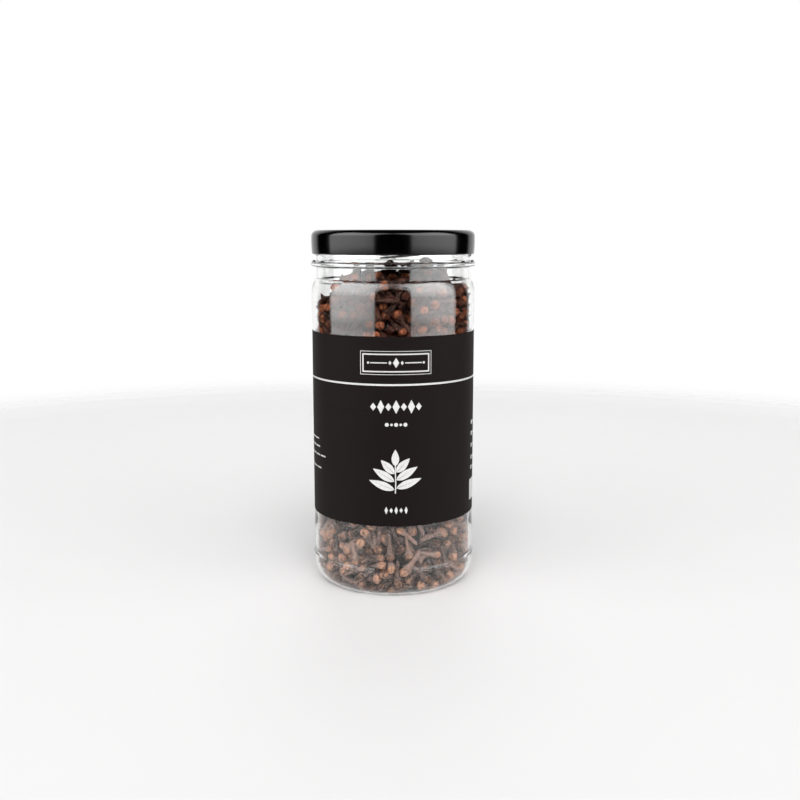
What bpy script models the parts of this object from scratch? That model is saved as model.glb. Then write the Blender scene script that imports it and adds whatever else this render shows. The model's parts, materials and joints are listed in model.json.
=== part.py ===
"""Clear plastic jar of whole cloves, with a black metal twist-off lid and a wrap label.

Metres, +Z up. The origin is at the middle of the foot, on the surface that the jar stands
on, and the front of the label faces -Y. Driving dimensions below are in millimetres.
"""

import math
import random

import bmesh
import bpy
from mathutils import Matrix, Vector, noise

MM = 0.001
SEGMENTS = 40                      # flats round every turned piece
ARC_STEPS = 4                      # flats in every rounding
GAP = 0.3                          # clearance between pieces that touch
WELD = 0.01                        # points closer than this are one
SHARP_ANGLE = math.radians(35.0)

# colour, roughness and opacity of each finish
CLEAR_PLASTIC = ((0.93, 0.94, 0.93), 0.04, 0.3)
BLACK_LACQUER = ((0.01, 0.01, 0.011), 0.12, 1.0)
LABEL_PAPER = ((0.022, 0.017, 0.016), 0.5, 1.0)
CLOVE_BROWN = ((0.16, 0.075, 0.04), 0.8, 1.0)

# jar body
BODY_R = 32.5
WALL = 1.5
HEEL_R, HEEL_H = 8.0, 7.8          # radial and upright size of the rounded heel
FOOT_W = 2.0                       # flat ring that the jar stands on
PUSH_UP = 3.0                      # height of the dome under the floor
DOME_SHARES = (0.0, 0.4, 0.72, 1.0)
SHOULDER_Z, SHOULDER_H = 118.6, 4.0

# jar neck
NECK_R = 30.4
NECK_WALL = 1.6
RIM_Z = 140.2
RIM_ROUND = 0.5
BEAD_R = 32.55                     # support ring under the lid
BEAD_Z, BEAD_H = 127.4, 1.7
BEAD_ROUND = 0.55

# twist-off thread on the neck
RIB_COUNT = 4
RIB_START = math.radians(-7.8)     # first rib's blunt end, from the front towards +X
RIB_SPAN = math.radians(60.0)
RIB_STEPS = 8
RIB_Z, RIB_RISE = 131.0, 2.9
RIB_H = 1.2
RIB_FLANK = 0.3                    # height of each sloping flank
RIB_R = 31.0
RIB_ROOT = 0.5                     # depth of the rib's foot inside the neck

# label, in a shallow panel of the body
LABEL_Z0, LABEL_Z1 = 29.6, 102.2
LABEL_T = 0.3

# lid
LID_R = 32.35
LID_Z0, LID_Z1 = 132.1, 141.4
LID_T = 0.6
LID_EDGE_R, LID_EDGE_H = 2.7, 1.6  # rounding of the top edge
LID_PANEL_R, LID_PANEL_DROP = 27.0, 0.5
LID_PANEL_SLOPE = 1.0
CURL_H = 1.5                       # rolled edge at the bottom
CURL_IN = 0.7                      # how far the roll draws in at the lid's bottom
CURL_R = 31.35                     # inside of the roll

# clove: height, corner radius and side radius of its rings, as shares of its length
CLOVE_LENGTH = 13.2
CLOVE_SPREAD = 0.12                # lengths vary by this share, girths by half of it
CLOVE_SIDES = 8
SQUARE = None                      # the side radius of a four-cornered ring
CLOVE_RINGS = (
    (-0.50, 0.0, 0.0),             # foot of the stem
    (-0.48, 0.062, SQUARE),
    (0.12, 0.115, SQUARE),         # top of the stem
    (0.245, 0.235, 0.125),         # four spread sepals
    (0.335, 0.165, 0.165),         # round bud
    (0.465, 0.11, SQUARE),
    (0.50, 0.0, 0.0),
)

# core of the fill
WALL_CLEAR = 0.4                   # from the cloves to the inside of the jar
FLOOR_CLEAR = 1.4
CORE_SEGMENTS = 24
CORE_DEPTH, CORE_RELIEF = 2.4, 1.8             # behind the wall, and dents, where cloves show
HIDDEN_DEPTH, HIDDEN_RELIEF = 1.0, 0.5         # the same behind the label
HIDDEN_MARGIN = 5.0                # cloves show this far behind the label's edges
DENT_BIAS = 0.4
DENT_TURN, DENT_RISE = 4.0, 0.2    # how fast the dents change round and up the core
CORE_FLOOR_R = (0.0, 10.0, 20.0)
CORE_FLOOR_UP = (2.5, 6.0, 12.0, 19.0)         # rings above the floor
CORE_LABEL_UP = (2.0, 12.0)                    # rings above the label's bottom edge
CORE_LABEL_TOP_UP = (-10.0, -2.0, 4.0, 9.0)    # rings round the label's top edge
CORE_TOP_R = (25.0, 19.0, 12.5, 6.0, 0.0)
HEAP_EDGE_Z = 116.5                # height of the core's top at the wall
HEAP_SHOULDER = 1.5                # the last wall ring lies this far below it
HEAP_CROWN = 7.0                   # how much higher it is in the middle
HEAP_POWER = 2.5                   # flatness of the crown
HEAP_LEAN = 1.4                    # how much higher it is at the +X side

# where cloves lie
CLOVE_SEED = 7
LOWER_ROWS = (7.0, 14.0, 21.0, 28.0)
UPPER_ROWS = (101.5, 108.5, 115.5)
ROW_COUNT = 10
ROW_SWAY, ROW_LIFT = 0.2, 1.5      # scatter along a row, as a share of its pitch, and up
ROW_TILT = 0.3                     # lean towards or away from the wall
TOP_RINGS = ((25.0, 9), (17.0, 6), (8.5, 3))   # radius and count on top of the fill
TOP_SWAY, TOP_TILT = 0.25, 0.45
TOP_LIFT = (0.8, 2.0)
FIT_TRIES = 12


def clear_scene():
    """Remove whatever the scene starts with."""
    for obj in list(bpy.data.objects):
        bpy.data.objects.remove(obj, do_unlink=True)


def new_collection(name):
    """Make a collection in the scene."""
    group = bpy.data.collections.new(name)
    bpy.context.scene.collection.children.link(group)
    return group


def finish(name, look):
    """Make a plain surface finish from its colour, roughness and opacity."""
    colour, roughness, opacity = look
    material = bpy.data.materials.new(name)
    material.use_nodes = True
    shader = material.node_tree.nodes["Principled BSDF"]
    shader.inputs["Base Color"].default_value = (*colour, 1.0)
    shader.inputs["Roughness"].default_value = roughness
    shader.inputs["Metallic"].default_value = 0.0
    shader.inputs["Alpha"].default_value = opacity
    return material


def new_object(name, bm, group):
    """Turn a bmesh in metres into an object of a collection."""
    mesh = bpy.data.meshes.new(name)
    bm.to_mesh(mesh)
    bm.free()
    obj = bpy.data.objects.new(name, mesh)
    group.objects.link(obj)
    return obj


def arc(centre, radii, start, end, steps=ARC_STEPS):
    """Points of an elliptical arc in the (r, z) plane, ends included, angles in degrees."""
    points = []
    for step in range(steps + 1):
        angle = math.radians(start + (end - start) * step / steps)
        points.append((centre[0] + radii[0] * math.cos(angle), centre[1] + radii[1] * math.sin(angle)))
    return points


def turned(name, outline, closed, group):
    """Turn an outline of (r, z) points in millimetres round the Z axis."""
    bm = bmesh.new()
    verts = [bm.verts.new((r * MM, 0.0, z * MM)) for r, z in outline]
    for first, second in zip(verts, verts[1:]):
        bm.edges.new((first, second))
    if closed:
        bm.edges.new((verts[-1], verts[0]))
    obj = new_object(name, bm, group)
    screw = obj.modifiers.new("turn", "SCREW")
    screw.axis = "Z"
    screw.angle = math.tau
    screw.steps = SEGMENTS
    screw.render_steps = SEGMENTS
    screw.use_merge_vertices = True
    screw.merge_threshold = WELD * MM
    screw.use_smooth_shade = True
    return obj


def union(obj, group, solver="EXACT"):
    """Fuse every object of a collection onto one object, then remove the collection."""
    fuse = obj.modifiers.new("fuse", "BOOLEAN")
    fuse.operation = "UNION"
    fuse.operand_type = "COLLECTION"
    fuse.collection = group
    fuse.solver = solver
    bpy.context.view_layer.update()
    evaluated = obj.evaluated_get(bpy.context.evaluated_depsgraph_get())
    fused = bpy.data.meshes.new_from_object(evaluated)
    obj.modifiers.clear()
    obj.data = fused
    for part in list(group.objects):
        bpy.data.objects.remove(part, do_unlink=True)
    bpy.data.collections.remove(group)


def floor_rise(r):
    """Height of the domed floor above the flat foot at a radius."""
    dome_r = BODY_R - HEEL_R - FOOT_W
    return PUSH_UP * (1.0 - (r / dome_r) ** 2) if r < dome_r else 0.0


def inside_radius(z):
    """Radius of the jar's inside at a height."""
    if z < HEEL_H:
        drop = min(1.0, (HEEL_H - z) / (HEEL_H - WALL))
        return BODY_R - HEEL_R + (HEEL_R - WALL) * math.sqrt(1.0 - drop * drop)
    inner, neck = BODY_R - WALL, NECK_R - NECK_WALL
    start = SHOULDER_Z - WALL / 2
    if z <= start:
        return inner
    lift = min(1.0, (z - start) / SHOULDER_H)
    return neck + (inner - neck) * math.sqrt(1.0 - lift * lift)


def thread_rib(start, group):
    """One blunt-ended rib of the thread, climbing round the neck from a start angle."""
    bm = bmesh.new()
    root = NECK_R - RIB_ROOT
    section = ((root, 0.0), (RIB_R, RIB_FLANK), (RIB_R, RIB_H - RIB_FLANK), (root, RIB_H))
    face = bm.faces.new([bm.verts.new((r * MM, 0.0, (RIB_Z + z) * MM)) for r, z in section])
    bmesh.ops.spin(bm, geom=[face, *face.edges, *face.verts], cent=(0, 0, 0), axis=(0, 0, 1),
                   dvec=(0, 0, RIB_RISE * MM / RIB_STEPS), angle=RIB_SPAN, steps=RIB_STEPS)
    turn = Matrix.Rotation(start - math.pi / 2, 3, "Z")
    bmesh.ops.rotate(bm, cent=(0, 0, 0), matrix=turn, verts=bm.verts)
    bmesh.ops.recalc_face_normals(bm, faces=bm.faces)
    new_object("rib", bm, group)


def build_jar(group):
    """Blow-moulded body with its neck, support ring, thread, label panel and domed foot."""
    inner, neck_inner = BODY_R - WALL, NECK_R - NECK_WALL
    foot = BODY_R - HEEL_R
    dome = [(foot - FOOT_W) * share for share in DOME_SHARES]
    panel_r = BODY_R - LABEL_T - GAP
    outline = [(r, WALL + floor_rise(r)) for r in dome]
    outline += arc((foot, HEEL_H), (HEEL_R - WALL, HEEL_H - WALL), -90, 0)
    outline += arc((neck_inner, SHOULDER_Z - WALL / 2), (inner - neck_inner, SHOULDER_H), 0, 90)
    outline += [(neck_inner, RIM_Z - RIM_ROUND), (neck_inner + RIM_ROUND, RIM_Z)]
    outline += [(NECK_R - RIM_ROUND, RIM_Z), (NECK_R, RIM_Z - RIM_ROUND)]
    outline += [(NECK_R, BEAD_Z + BEAD_H), (BEAD_R - BEAD_ROUND, BEAD_Z + BEAD_H)]
    outline += [(BEAD_R, BEAD_Z + BEAD_H - BEAD_ROUND), (BEAD_R, BEAD_Z + BEAD_ROUND)]
    outline += [(BEAD_R - BEAD_ROUND, BEAD_Z), (NECK_R, BEAD_Z)]
    outline += arc((NECK_R, SHOULDER_Z), (BODY_R - NECK_R, SHOULDER_H), 90, 0)
    outline += [(BODY_R, LABEL_Z1 + GAP), (panel_r, LABEL_Z1 + GAP)]
    outline += [(panel_r, LABEL_Z0 - GAP), (BODY_R, LABEL_Z0 - GAP)]
    outline += arc((foot, HEEL_H), (HEEL_R, HEEL_H), 0, -90)
    outline += [(r, floor_rise(r)) for r in reversed(dome)]
    jar = turned("jar", outline, False, group)
    ribs = new_collection("thread_ribs")
    for index in range(RIB_COUNT):
        thread_rib(RIB_START + index * math.tau / RIB_COUNT, ribs)
    union(jar, ribs)
    jar.data.materials.clear()
    jar.data.materials.append(finish("clear_plastic", CLEAR_PLASTIC))
    jar.data.set_sharp_from_angle(angle=SHARP_ANGLE)


def build_lid(group):
    """Smooth pressed cap: recessed panel, rounded edge, straight skirt and rolled bottom edge."""
    panel_z, edge_z, roll_z = LID_Z1 - LID_PANEL_DROP, LID_Z1 - LID_EDGE_H, LID_Z0 + CURL_H
    edge_r, slope_r = LID_R - LID_EDGE_R, LID_PANEL_R + LID_PANEL_SLOPE
    outline = [(0.0, panel_z), (LID_PANEL_R, panel_z), (slope_r, LID_Z1)]
    outline += arc((edge_r, edge_z), (LID_EDGE_R, LID_EDGE_H), 90, 0)
    outline += arc((LID_R - CURL_IN, roll_z), (CURL_IN, CURL_H), 0, -90)
    outline += [(CURL_R, LID_Z0 + LID_T / 2), (CURL_R, roll_z - LID_T / 2), (LID_R - LID_T, roll_z)]
    outline += arc((edge_r, edge_z), (LID_EDGE_R - LID_T, LID_EDGE_H - LID_T), 0, 90, ARC_STEPS - 1)
    outline += [(slope_r, LID_Z1 - LID_T), (LID_PANEL_R, panel_z - LID_T), (0.0, panel_z - LID_T)]
    lid = turned("lid", outline, False, group)
    lid.data.materials.append(finish("black_lacquer", BLACK_LACQUER))


def build_label(group):
    """Wrap label, one closed band flush with the body."""
    outer, inner = BODY_R, BODY_R - LABEL_T
    outline = [(inner, LABEL_Z0), (inner, LABEL_Z1), (outer, LABEL_Z1), (outer, LABEL_Z0)]
    label = turned("label", outline, True, group)
    label.data.materials.append(finish("label_paper", LABEL_PAPER))


def heap_top(x, y):
    """Height of the core's top at a place in the jar."""
    share = min(1.0, math.hypot(x, y) / (BODY_R - WALL))
    return HEAP_EDGE_Z + HEAP_CROWN * (1.0 - share ** HEAP_POWER) + HEAP_LEAN * x / BODY_R


def label_hides(z):
    """Whether the label covers the fill at a height."""
    return LABEL_Z0 + HIDDEN_MARGIN < z < LABEL_Z1 - HIDDEN_MARGIN


def core_outline():
    """Core's outline from the middle of the floor, up the wall and over the top to the middle."""
    floor_z = WALL + FLOOR_CLEAR
    heights = [floor_z + up for up in CORE_FLOOR_UP] + [LABEL_Z0 + up for up in CORE_LABEL_UP]
    heights += [LABEL_Z1 + up for up in CORE_LABEL_TOP_UP] + [HEAP_EDGE_Z - HEAP_SHOULDER]
    points = [(r, floor_z + floor_rise(r)) for r in CORE_FLOOR_R]
    for z in heights:
        depth = HIDDEN_DEPTH if label_hides(z) else CORE_DEPTH
        points.append((inside_radius(z) - WALL_CLEAR - depth, z))
    points += [(r, heap_top(r, 0.0)) for r in CORE_TOP_R]
    return points


def wrapped_sphere(segments, rings):
    """Sphere's grid, with each vertex listed as (vertex, ring number, segment number)."""
    bm = bmesh.new()
    bmesh.ops.create_uvsphere(bm, u_segments=segments, v_segments=rings, radius=1.0)
    places = []
    for vert in bm.verts:
        polar = math.acos(max(-1.0, min(1.0, vert.co.z)))
        ring = round(rings * (1.0 - polar / math.pi))
        segment = round(math.atan2(vert.co.y, vert.co.x) * segments / math.tau)
        places.append((vert, ring, segment))
    return bm, places


def build_core(group):
    """Uneven core of the fill: a sphere's grid wrapped onto the inside of the jar."""
    outline = core_outline()
    bm, places = wrapped_sphere(CORE_SEGMENTS, len(outline) - 1)
    for vert, ring, segment in places:
        r, z = outline[ring]
        angle = segment * math.tau / CORE_SEGMENTS
        relief = HIDDEN_RELIEF if label_hides(z) else CORE_RELIEF
        spot = Vector((DENT_TURN * math.cos(angle), DENT_TURN * math.sin(angle), DENT_RISE * z))
        dent = relief * (noise.noise(spot) - DENT_BIAS)
        r = max(0.0, r + dent)
        x, y = r * math.cos(angle), r * math.sin(angle)
        if z > HEAP_EDGE_Z - HEAP_SHOULDER:
            z = heap_top(x, y) + dent
        vert.co = Vector((x, y, z)) * MM
    return new_object("cloves", bm, group)


def clove_shape(rng):
    """Few-sided clove along +Z, in millimetres: stem, four spread sepals and a round bud."""
    bm, places = wrapped_sphere(CLOVE_SIDES, len(CLOVE_RINGS) - 1)
    length = CLOVE_LENGTH * rng.uniform(1.0 - CLOVE_SPREAD, 1.0 + CLOVE_SPREAD)
    girth = length * rng.uniform(1.0 - CLOVE_SPREAD / 2, 1.0 + CLOVE_SPREAD / 2)
    for vert, ring, segment in places:
        height, corner_r, side_r = CLOVE_RINGS[ring]
        if side_r is SQUARE:
            segment = 2 * (segment // 2)
        r = (corner_r if segment % 2 == 0 else side_r) * girth
        angle = segment * math.tau / CLOVE_SIDES
        vert.co = Vector((r * math.cos(angle), r * math.sin(angle), height * length))
    bmesh.ops.remove_doubles(bm, verts=bm.verts, dist=WELD)
    return bm


def fit_inside(bm, radial):
    """Draw a clove in from the jar's wall and up from its floor until it is clear of both."""
    for _ in range(FIT_TRIES):
        excess = max(math.hypot(v.co.x, v.co.y) - inside_radius(v.co.z) for v in bm.verts) + WALL_CLEAR
        sunk = max(floor_rise(math.hypot(v.co.x, v.co.y)) - v.co.z for v in bm.verts) + WALL + WALL_CLEAR
        shift = Vector((0.0, 0.0, max(0.0, sunk))) - radial * max(0.0, excess)
        if shift.length < WELD / 10:
            return True
        bmesh.ops.translate(bm, vec=shift, verts=bm.verts)
    return False


def lay_clove(rng, place, outward, along, group):
    """Lay one clove at a place with its length along a direction, clear of the jar."""
    bm = clove_shape(rng)
    side = along.cross(outward).normalized()
    turn = Matrix((side, along.cross(side), along)).transposed().to_4x4()
    roll = Matrix.Rotation(rng.uniform(0.0, math.tau), 4, "Z")
    bmesh.ops.transform(bm, matrix=Matrix.Translation(place) @ turn @ roll, verts=bm.verts)
    if not fit_inside(bm, Vector((place.x, place.y, 0.0)).normalized()):
        bm.free()
        return
    bmesh.ops.scale(bm, vec=(MM, MM, MM), verts=bm.verts)
    bmesh.ops.recalc_face_normals(bm, faces=bm.faces)
    new_object("clove", bm, group)


def wall_cloves(rng, group):
    """Rows of cloves pressed against the wall below and above the label."""
    for row, z in enumerate(LOWER_ROWS + UPPER_ROWS):
        for index in range(ROW_COUNT):
            step = index + row % 2 / 2 + rng.uniform(-ROW_SWAY, ROW_SWAY)
            angle = math.tau * step / ROW_COUNT
            radial = Vector((math.sin(angle), -math.cos(angle), 0.0))
            tangent = Vector((math.cos(angle), math.sin(angle), 0.0))
            lean = rng.uniform(0.0, math.tau)
            along = tangent * math.cos(lean) + Vector((0.0, 0.0, math.sin(lean)))
            along += radial * rng.uniform(-ROW_TILT, ROW_TILT)
            place = radial * (BODY_R - WALL) + Vector((0.0, 0.0, z + rng.uniform(-ROW_LIFT, ROW_LIFT)))
            lay_clove(rng, place, radial, along.normalized(), group)


def top_cloves(rng, group):
    """Cloves strewn over the top of the fill, up into the neck."""
    for ring_r, count in TOP_RINGS:
        for index in range(count):
            angle = math.tau * (index + rng.uniform(-TOP_SWAY, TOP_SWAY)) / count
            x, y = ring_r * math.sin(angle), -ring_r * math.cos(angle)
            heading = rng.uniform(0.0, math.tau)
            along = Vector((math.cos(heading), math.sin(heading), rng.uniform(-TOP_TILT, TOP_TILT)))
            place = Vector((x, y, heap_top(x, y) + rng.uniform(*TOP_LIFT)))
            lay_clove(rng, place, Vector((0.0, 0.0, 1.0)), along.normalized(), group)


def keep_largest(obj):
    """Keep the largest connected shell, so that no scrap or sealed hollow is left."""
    bm = bmesh.new()
    bm.from_mesh(obj.data)
    bmesh.ops.triangulate(bm, faces=bm.faces)
    unseen = set(bm.faces)
    shells = []
    while unseen:
        seed = unseen.pop()
        shell, front = [seed], [seed]
        while front:
            for edge in front.pop().edges:
                for other in edge.link_faces:
                    if other in unseen:
                        unseen.discard(other)
                        shell.append(other)
                        front.append(other)
        shells.append(shell)
    shells.sort(key=len)
    for shell in shells[:-1]:
        bmesh.ops.delete(bm, geom=shell, context="FACES")
    bm.to_mesh(obj.data)
    bm.free()


def build_cloves(group):
    """The fill: a core with the cloves that show fused on."""
    rng = random.Random(CLOVE_SEED)
    core = build_core(group)
    pieces = new_collection("clove_pieces")
    wall_cloves(rng, pieces)
    top_cloves(rng, pieces)
    union(core, pieces, solver="MANIFOLD")
    keep_largest(core)
    core.data.materials.clear()
    core.data.materials.append(finish("clove_brown", CLOVE_BROWN))


def main():
    """Build the jar, its lid, its label and its fill."""
    clear_scene()
    group = new_collection("jar_of_whole_cloves")
    build_jar(group)
    build_lid(group)
    build_label(group)
    build_cloves(group)


main()
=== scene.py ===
"""Dressed model of a jar of whole cloves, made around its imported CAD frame.

Sizes in the classes are millimetres and angles are degrees, unless a name says otherwise. Meshes are
written in metres, in the frame's own axes: +Z up, -Y towards the front and +X to the right.
"""

import json
import logging
import math
import random
from dataclasses import dataclass
from enum import Enum
from typing import Any, Callable, Sequence

import bmesh
import bpy
import numpy as np
from bpy.types import Material, Mesh, Node, NodeSocket, NodeTree, Object
from mathutils import Matrix, Vector, noise

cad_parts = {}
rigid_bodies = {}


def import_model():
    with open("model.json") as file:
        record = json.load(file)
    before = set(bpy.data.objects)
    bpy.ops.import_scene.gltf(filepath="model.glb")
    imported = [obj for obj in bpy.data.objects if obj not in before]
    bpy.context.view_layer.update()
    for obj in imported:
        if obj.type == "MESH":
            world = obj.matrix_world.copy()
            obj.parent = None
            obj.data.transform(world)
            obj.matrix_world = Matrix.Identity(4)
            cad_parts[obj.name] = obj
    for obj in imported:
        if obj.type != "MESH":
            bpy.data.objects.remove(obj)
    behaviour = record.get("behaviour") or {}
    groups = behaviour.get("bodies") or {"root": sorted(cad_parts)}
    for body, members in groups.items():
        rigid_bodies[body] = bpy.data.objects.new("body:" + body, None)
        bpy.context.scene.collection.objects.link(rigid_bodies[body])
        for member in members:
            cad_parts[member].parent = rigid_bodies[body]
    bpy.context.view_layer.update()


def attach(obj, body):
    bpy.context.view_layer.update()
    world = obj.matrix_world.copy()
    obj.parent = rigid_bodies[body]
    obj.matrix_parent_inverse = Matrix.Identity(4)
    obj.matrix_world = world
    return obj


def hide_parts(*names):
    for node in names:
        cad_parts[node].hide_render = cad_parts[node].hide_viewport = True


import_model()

MM = 0.001
ROOT = "root"
WELD = 0.004                         # points closer than this are one
RELIEF = 0.1                         # depth that a relief of 1 stands for
DEGREES = 180.0 / math.pi            # turns radians into degrees
LOG = logging.getLogger("jar_of_cloves")

Outline = list[tuple[float, float]]
Colour = tuple[float, float, float]


class Slot(Enum):
    """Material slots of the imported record."""

    JAR = "jar"
    LID = "lid"
    LABEL = "label"
    CLOVES = "cloves"


# ---- node trees


def operator(operation: str, flipped: bool = False) -> Callable[..., "Field"]:
    """Make an arithmetic method that adds one Math node.

    Args:
        operation: the node's operation.
        flipped: whether the other value comes first.

    Returns:
        The method.
    """
    def method(self: "Field", *others: "Field | float") -> "Field":
        """Add the Math node."""
        return self.web.maths(operation, *((*others, self) if flipped else (self, *others)))
    return method


class Field:
    """One socket of a node tree that takes part in Python arithmetic."""

    def __init__(self, web: "NodeWeb", socket: NodeSocket) -> None:
        """Wrap an output socket of a web's tree."""
        self.web, self.socket = web, socket

    __add__ = __radd__ = operator("ADD")
    __sub__, __rsub__ = operator("SUBTRACT"), operator("SUBTRACT", flipped=True)
    __mul__ = __rmul__ = operator("MULTIPLY")
    __truediv__, __pow__, __abs__ = operator("DIVIDE"), operator("POWER"), operator("ABSOLUTE")

    def step(self, low: float, high: float) -> "Field":
        """Rise smoothly from 0 at low to 1 at high.

        Args:
            low: value at which the result leaves 0.
            high: value at which the result reaches 1; below low for a falling step.

        Returns:
            The smoothed share.
        """
        if low > high:
            return 1.0 - self.step(high, low)
        return self.web.read(
            "ShaderNodeMapRange", "Result", {"interpolation_type": "SMOOTHSTEP"},
            {"Value": self, "From Min": low, "From Max": high},
        )


class NodeWeb:
    """Adds nodes to one tree: settings first, then the values or links of the sockets."""

    def __init__(self, tree: NodeTree) -> None:
        """Work on a node tree."""
        self.tree = tree

    def node(self, kind: str, settings: dict[str, Any] | None = None,
             inputs: dict[str | int, Any] | None = None) -> Node:
        """Add one node.

        Args:
            kind: the node's type name.
            settings: properties of the node.
            inputs: a value, field or socket for each named or numbered input.

        Returns:
            The node.
        """
        made = self.tree.nodes.new(kind)
        for name, value in (settings or {}).items():
            setattr(made, name, value)
        for key, value in (inputs or {}).items():
            self.feed(made.inputs[key], value)
        return made

    def feed(self, socket: NodeSocket, value: Any) -> None:
        """Set or link one input."""
        if isinstance(value, Field):
            self.tree.links.new(value.socket, socket)
        elif isinstance(value, NodeSocket):
            self.tree.links.new(value, socket)
        elif value is not None:
            socket.default_value = value

    def read(self, kind: str, output: str | int, settings: dict[str, Any] | None = None,
             inputs: dict[str | int, Any] | None = None) -> Field:
        """Add one node and wrap one of its outputs."""
        return Field(self, self.node(kind, settings, inputs).outputs[output])

    def maths(self, operation: str, *values: Field | float) -> Field:
        """Add one Math node on fields and numbers."""
        return self.read("ShaderNodeMath", 0, {"operation": operation}, dict(enumerate(values)))

    def mix(self, share: Field | float, first: Any, second: Any) -> Field:
        """Blend two colours, given as fields or numbers, by the share of the second."""
        first, second = (c if isinstance(c, Field) else (*c, 1.0) for c in (first, second))
        return self.read("ShaderNodeMix", 2, {"data_type": "RGBA"}, {0: share, 6: first, 7: second})

    def axes(self, vector: Field) -> tuple[Field, Field, Field]:
        """Split a vector into its three numbers."""
        parts = self.node("ShaderNodeSeparateXYZ", inputs={0: vector})
        return tuple(Field(self, parts.outputs[i]) for i in range(3))

    def noise(self, vector: Field, scale: float, detail: float = 2.0, roughness: float = 0.5) -> Field:
        """Smooth noise about 0.5, with scale cells for one unit of the vector."""
        values = {"Vector": vector, "Scale": scale, "Detail": detail, "Roughness": roughness}
        return self.read("ShaderNodeTexNoise", 0, inputs=values)

    def stretch(self, vector: Field, scale: tuple[float, float, float]) -> Field:
        """Scale a vector along its axes."""
        return self.read("ShaderNodeMapping", 0, inputs={"Vector": vector, "Scale": scale})

    def bump(self, height: Field, strength: float, depth: float) -> Field:
        """Turn a height of 0 to 1 into a bent normal; a height of 1 is depth millimetres."""
        values = {"Height": height, "Strength": strength, "Distance": depth * MM}
        return self.read("ShaderNodeBump", 0, inputs=values)


# ---- finishes


def scaled(colour: Colour, share: float) -> Colour:
    """Darken or lighten a colour."""
    return tuple(c * share for c in colour)


@dataclass(frozen=True)
class Finish:
    """What every finish shares: one material with a Principled shader."""

    name: str
    colour: Colour
    roughness: float
    ior: float = 1.5

    def make(self) -> Material:
        """Build the material.

        Returns:
            The material, ready for a piece.
        """
        material = bpy.data.materials.new(self.name)
        material.use_nodes = True
        material.node_tree.nodes.clear()
        web = NodeWeb(material.node_tree)
        values = {"Base Color": (*self.colour, 1.0), "Roughness": self.roughness, "IOR": self.ior}
        shader = web.node("ShaderNodeBsdfPrincipled", inputs=values)
        here = web.read("ShaderNodeTexCoord", "Object")
        for name, value in self.detail(web, here).items():
            web.feed(shader.inputs[name], value)
        surface = self.wrap(web, Field(web, shader.outputs[0]))
        web.node("ShaderNodeOutputMaterial", inputs={"Surface": surface})
        return material

    def detail(self, web: NodeWeb, here: Field) -> dict[str, Any]:
        """Say what the Principled shader's inputs get beyond the plain values."""
        return {}

    def wrap(self, web: NodeWeb, shader: Field) -> Field:
        """Mix the shader with another one where the finish needs it."""
        return shader


@dataclass(frozen=True)
class ClearPlastic(Finish):
    """Glossy clear plastic with the faint waves of blow moulding."""

    wave: float = 0.012
    ripple: float = 0.004

    def detail(self, web: NodeWeb, here: Field) -> dict[str, Any]:
        """Clear all through, with slow waves and a finer ripple in the surface."""
        slow = web.noise(web.stretch(here, (1.0, 1.0, 0.5)), 95.0, 1.0)
        fine = web.noise(here, 420.0, 2.0)
        normal = web.bump(slow * (self.wave / RELIEF) + fine * (self.ripple / RELIEF), 1.0, RELIEF)
        return {"Transmission Weight": 1.0, "Normal": normal}

    def wrap(self, web: NodeWeb, shader: Field) -> Field:
        """Let the light of lamps and of the room through, so that the fill is lit."""
        through = web.read("ShaderNodeBsdfTransparent", 0)
        path = web.node("ShaderNodeLightPath")
        for ray in ("Is Diffuse Ray", "Is Shadow Ray"):
            parts = {0: path.outputs[ray], 1: shader, 2: through}
            shader = web.read("ShaderNodeMixShader", 0, None, parts)
        return shader


@dataclass(frozen=True)
class Lacquer(Finish):
    """Glossy black lacquer on pressed sheet, with fine orange peel and a little dust."""

    peel: float = 0.002
    dust: float = 0.04

    def detail(self, web: NodeWeb, here: Field) -> dict[str, Any]:
        """Orange peel in the normal, with dust specks and cloudy wipes in the roughness."""
        peel = web.noise(here, 700.0, 1.0)
        specks = web.noise(here, 2600.0, 1.0).step(0.72, 0.78)
        clouds = web.noise(here, 60.0, 3.0, 0.6).step(0.4, 0.8)
        return {
            "Base Color": web.mix(specks * 0.06, self.colour, (0.09, 0.09, 0.088)),
            "Roughness": specks * 0.35 + clouds * self.dust + self.roughness,
            "Normal": web.bump(peel, 1.0, self.peel),
        }


@dataclass(frozen=True)
class LabelFilm(Finish):
    """Satin warm black film with a fine grain and faint creases round the jar."""

    grain: float = 0.012
    specular: float = 0.028
    crease_heights: tuple[float, ...] = (44.5, 75.6)
    crease_sway: float = 1.6
    crease_half: float = 0.55

    def detail(self, web: NodeWeb, here: Field) -> dict[str, Any]:
        """Fine tooth, slow clouds in colour and gloss, and shallow rings where the film creased."""
        tooth = web.noise(here, 3200.0, 2.0)
        clouds = web.noise(web.stretch(here, (1.0, 1.0, 0.35)), 55.0, 3.0, 0.6)
        height = web.axes(here)[2]
        sway = web.noise(here, 30.0, 1.0)
        creases: Field | float = 0.0
        for z in self.crease_heights:
            away = abs(height * 1000.0 + sway * self.crease_sway - z)
            broken = web.noise(here, 26.0, 1.0).step(0.42, 0.62)
            creases = away.step(self.crease_half, 0.0) * broken + creases
        relief = tooth * (self.grain / RELIEF) + creases * 0.5
        return {
            "Base Color": web.mix(clouds, scaled(self.colour, 0.82), scaled(self.colour, 1.2)),
            "Roughness": clouds * 0.12 + (self.roughness - 0.06),
            "Specular IOR Level": self.specular,
            "Normal": web.bump(relief, 1.0, RELIEF),
        }


@dataclass(frozen=True)
class Ink(Finish):
    """Opaque printing ink, a little uneven."""

    def detail(self, web: NodeWeb, here: Field) -> dict[str, Any]:
        """Slightly uneven cover over the dark film."""
        thin = web.noise(here, 1500.0, 2.0).step(0.35, 0.75)
        return {"Base Color": web.mix(thin, self.colour, scaled(self.colour, 0.86)),
                "Normal": web.bump(thin, 0.4, 0.01)}


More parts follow.
